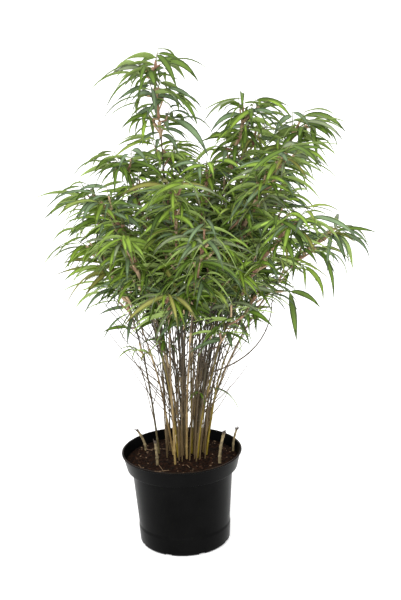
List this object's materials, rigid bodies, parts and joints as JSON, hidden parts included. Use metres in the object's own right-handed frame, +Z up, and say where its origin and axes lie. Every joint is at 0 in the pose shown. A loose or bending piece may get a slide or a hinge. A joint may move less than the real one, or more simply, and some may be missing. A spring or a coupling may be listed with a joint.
{
  "type": "potted bamboo",
  "caption": "Clump-forming bamboo with slender arching canes and tufts of narrow drooping leaves, growing in a round black nursery pot.",
  "frame": {"origin": "centre of the pot's flat underside, at the level of the surface that it stands on", "axes": "+Z up along the pot's axis; +X to the plant's right, the side that the crown leans to; -Y towards the viewer"},
  "size_m": [0.6068, 0.6458, 0.9174],
  "materials": {
    "pot": "satin black moulded plastic",
    "soil": "rough moist compost with bark chips",
    "cane": "smooth olive and tan cane, slightly glossy",
    "stub": "dry, pale, weathered cane",
    "foliage": "fresh green leaves with a soft sheen"
  },
  "bodies": {
    "root": {"pot": "pot", "soil": "soil", "stub_left": "stub", "stub_front_left": "stub", "stub_right": "stub", "stub_far_right": "stub", "cane_skirt_1": "cane", "cane_skirt_2": "cane", "cane_skirt_3": "cane", "cane_skirt_4": "cane", "cane_low_1": "cane", "cane_low_2": "cane", "cane_low_3": "cane", "cane_low_4": "cane", "cane_low_5": "cane", "cane_low_6": "cane", "cane_low_7": "cane", "cane_upper_1": "cane", "cane_upper_2": "cane", "cane_upper_3": "cane", "cane_upper_4": "cane", "cane_upper_5": "cane", "cane_upper_6": "cane", "cane_upper_7": "cane", "cane_tall_left": "cane", "cane_right_peak": "cane", "cane_shoulder_left": "cane", "cane_middle": "cane", "cane_right_arm": "cane", "foliage_skirt_1": "foliage", "foliage_skirt_2": "foliage", "foliage_skirt_3": "foliage", "foliage_skirt_4": "foliage", "foliage_low_1": "foliage", "foliage_low_2": "foliage", "foliage_low_3": "foliage", "foliage_low_4": "foliage", "foliage_low_5": "foliage", "foliage_low_6": "foliage", "foliage_low_7": "foliage", "foliage_upper_1": "foliage", "foliage_upper_2": "foliage", "foliage_upper_3": "foliage", "foliage_upper_4": "foliage", "foliage_upper_5": "foliage", "foliage_upper_6": "foliage", "foliage_upper_7": "foliage", "foliage_tall_left": "foliage", "foliage_right_peak": "foliage", "foliage_shoulder_left": "foliage", "foliage_middle": "foliage", "foliage_right_arm": "foliage"}
  },
  "joints": []
}
